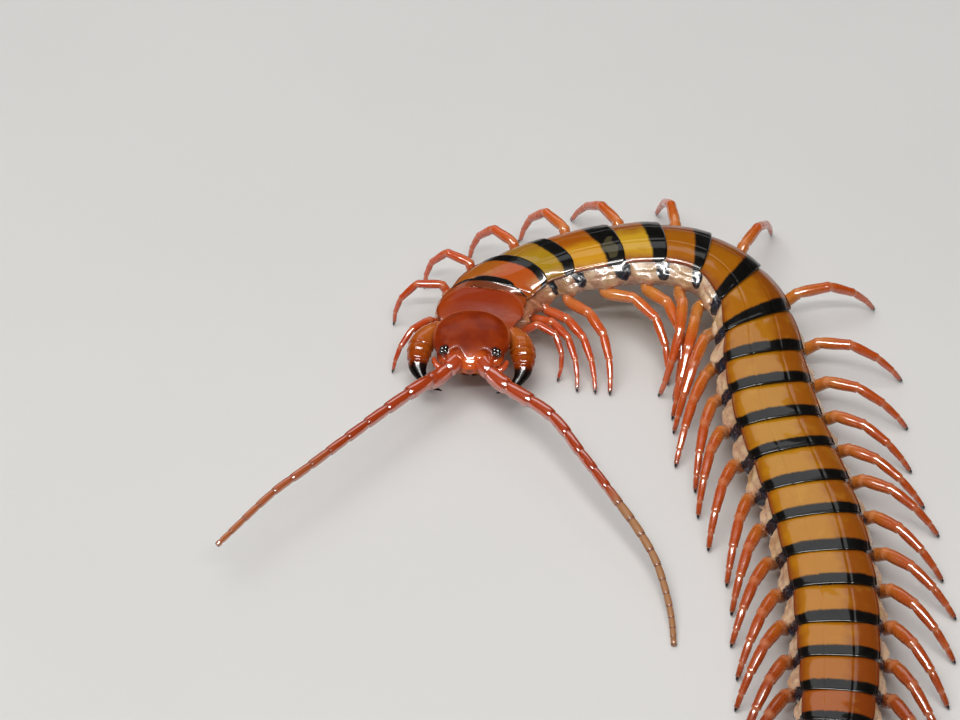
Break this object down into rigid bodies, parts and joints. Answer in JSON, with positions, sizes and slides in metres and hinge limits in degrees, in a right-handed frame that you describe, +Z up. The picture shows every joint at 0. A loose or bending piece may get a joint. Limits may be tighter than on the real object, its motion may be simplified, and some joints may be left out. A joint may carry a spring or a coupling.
{
  "type": "red-headed centipede",
  "caption": "Still, life-size centipede standing in a hook-shaped curve, with a round shielded head, beaded feelers, curved fangs and legs on every ring of its flat banded body.",
  "frame": {"origin": "middle of the bounding box in plan, on the floor that the feet stand on", "axes": "+Z up; the head faces -Y, the animal's left side is towards +X at the head, and the rear of the trunk comes forward towards -Y again on the +X side"},
  "size_m": [0.0638, 0.0868, 0.0088],
  "materials": {
    "head_shell": "glossy dark red-brown horn",
    "eye": "glossy black lenses",
    "antenna": "glossy red, duller and tan towards the tip",
    "forcipule": "glossy amber with black fang tips",
    "trunk_shell": "glossy yellow and orange plates with black rear bands, pale soft sides",
    "leg": "glossy translucent red to orange with pale joints and dark claws",
    "ultimate_leg": "glossy orange with pale joints and dark claws"
  },
  "bodies": {
    "root": {"head": "head_shell", "eye_left": "eye", "eye_right": "eye", "antenna_left": "antenna", "antenna_right": "antenna", "forcipule_left": "forcipule", "forcipule_right": "forcipule", "forcipular_plate": "forcipule", "trunk_01_to_03": "trunk_shell", "trunk_04_to_06": "trunk_shell", "trunk_07_to_09": "trunk_shell", "trunk_10_to_12": "trunk_shell", "trunk_13_to_15": "trunk_shell", "trunk_16_to_18": "trunk_shell", "trunk_19_to_21": "trunk_shell", "leg_left_01": "leg", "leg_left_02": "leg", "leg_left_03": "leg", "leg_left_04": "leg", "leg_left_05": "leg", "leg_left_06": "leg", "leg_left_07": "leg", "leg_left_08": "leg", "leg_left_09": "leg", "leg_left_10": "leg", "leg_left_11": "leg", "leg_left_12": "leg", "leg_left_13": "leg", "leg_left_14": "leg", "leg_left_15": "leg", "leg_left_16": "leg", "leg_left_17": "leg", "leg_left_18": "leg", "leg_left_19": "leg", "leg_left_20": "leg", "leg_right_01": "leg", "leg_right_02": "leg", "leg_right_03": "leg", "leg_right_04": "leg", "leg_right_05": "leg", "leg_right_06": "leg", "leg_right_07": "leg", "leg_right_08": "leg", "leg_right_09": "leg", "leg_right_10": "leg", "leg_right_11": "leg", "leg_right_12": "leg", "leg_right_13": "leg", "leg_right_14": "leg", "leg_right_15": "leg", "leg_right_16": "leg", "leg_right_17": "leg", "leg_right_18": "leg", "leg_right_19": "leg", "leg_right_20": "leg", "ultimate_leg_left": "ultimate_leg", "ultimate_leg_right": "ultimate_leg"}
  },
  "joints": []
}
